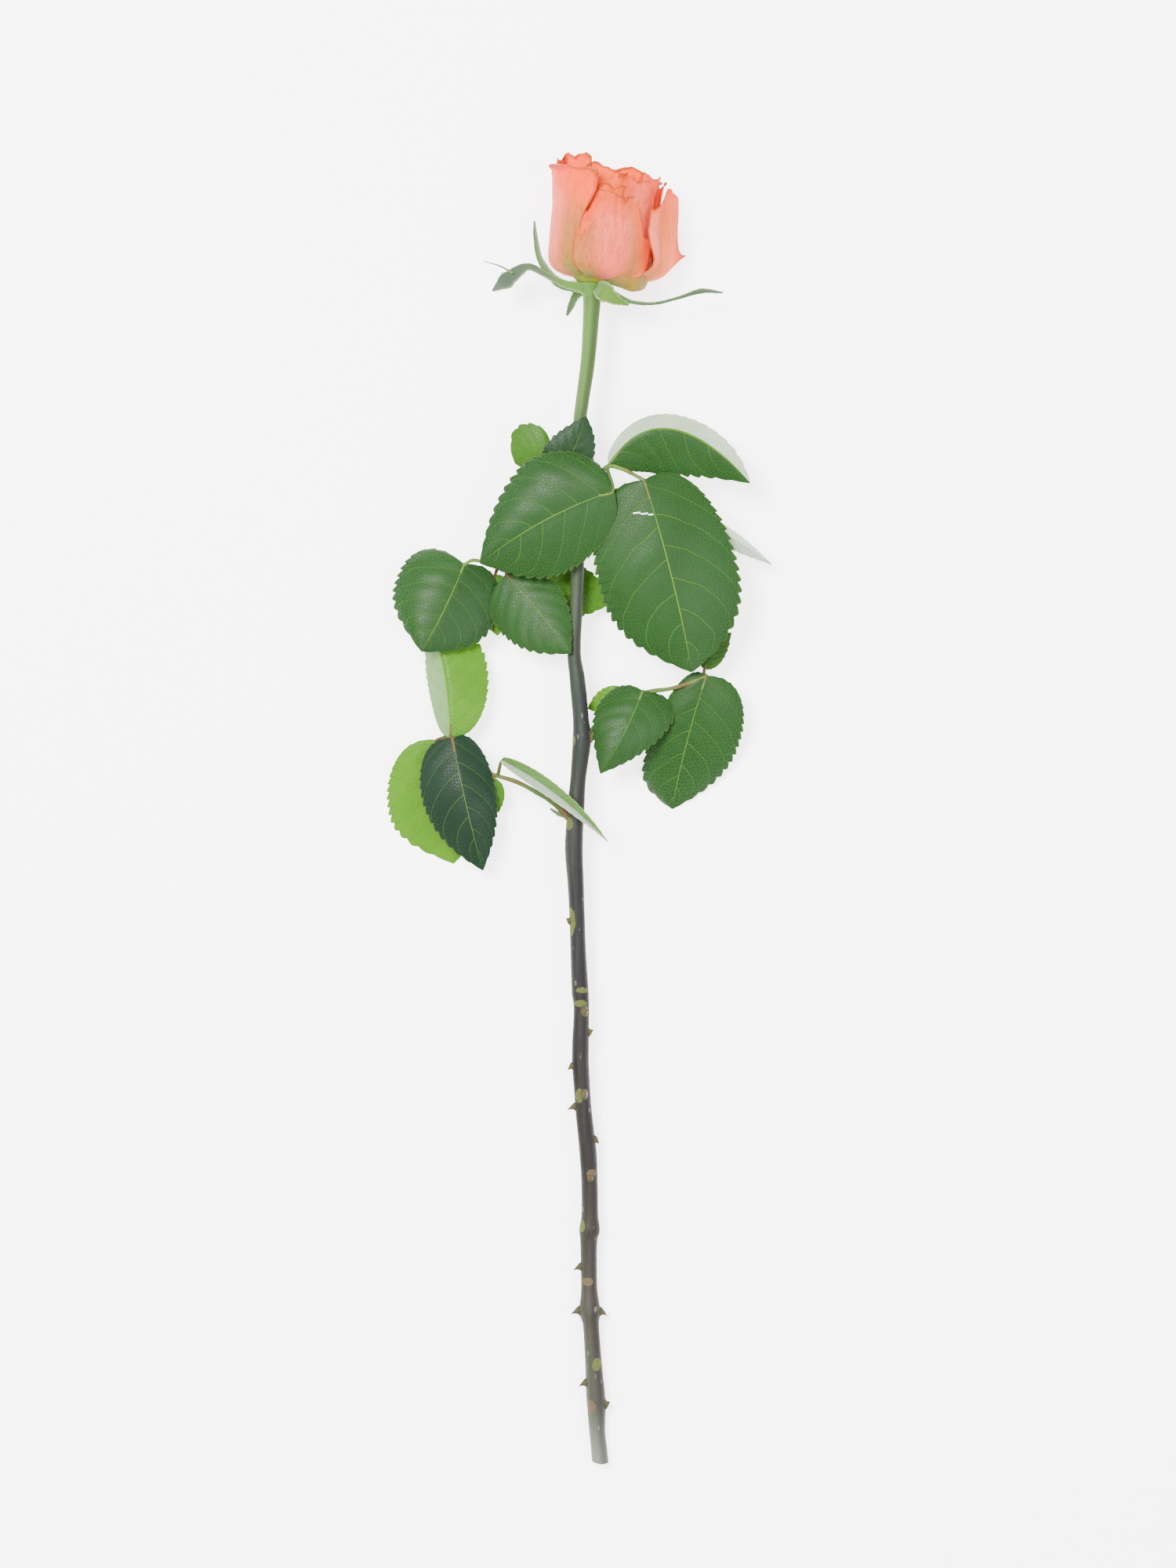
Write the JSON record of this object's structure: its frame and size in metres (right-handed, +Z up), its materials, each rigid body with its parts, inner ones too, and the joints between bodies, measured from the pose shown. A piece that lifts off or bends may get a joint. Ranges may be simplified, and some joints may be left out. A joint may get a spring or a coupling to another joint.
{
  "type": "cut rose",
  "caption": "Long-stemmed cut rose lying down: half-open salmon and orange bloom, sepals, thorny woody stem and toothed compound leaves.",
  "frame": {"origin": "centre of the bounding box's underside, on the surface that the flower lies on", "axes": "+Y from the cut end of the stem to the bloom, +Z up from the surface, +X to the right of the flower seen from above"},
  "size_m": [0.1489, 0.5036, 0.0496],
  "materials": {
    "bark": "young rose stem: green neck, grey-brown woody foot, satin skin",
    "sepal_green": "thin living sepal, matt pale green with whitish edges",
    "petal": "soft velvety petal, salmon pink with orange rims and cream-green root",
    "leaf_green": "living leaf, semi-gloss dark green top with pale veins"
  },
  "bodies": {
    "root": {"stem": "bark", "calyx": "sepal_green", "bloom": "petal", "leaf_upper_left": "leaf_green", "leaf_upper_right": "leaf_green", "leaf_middle_left": "leaf_green", "leaf_lower_left": "leaf_green", "leaf_lower_right": "leaf_green"}
  },
  "joints": []
}
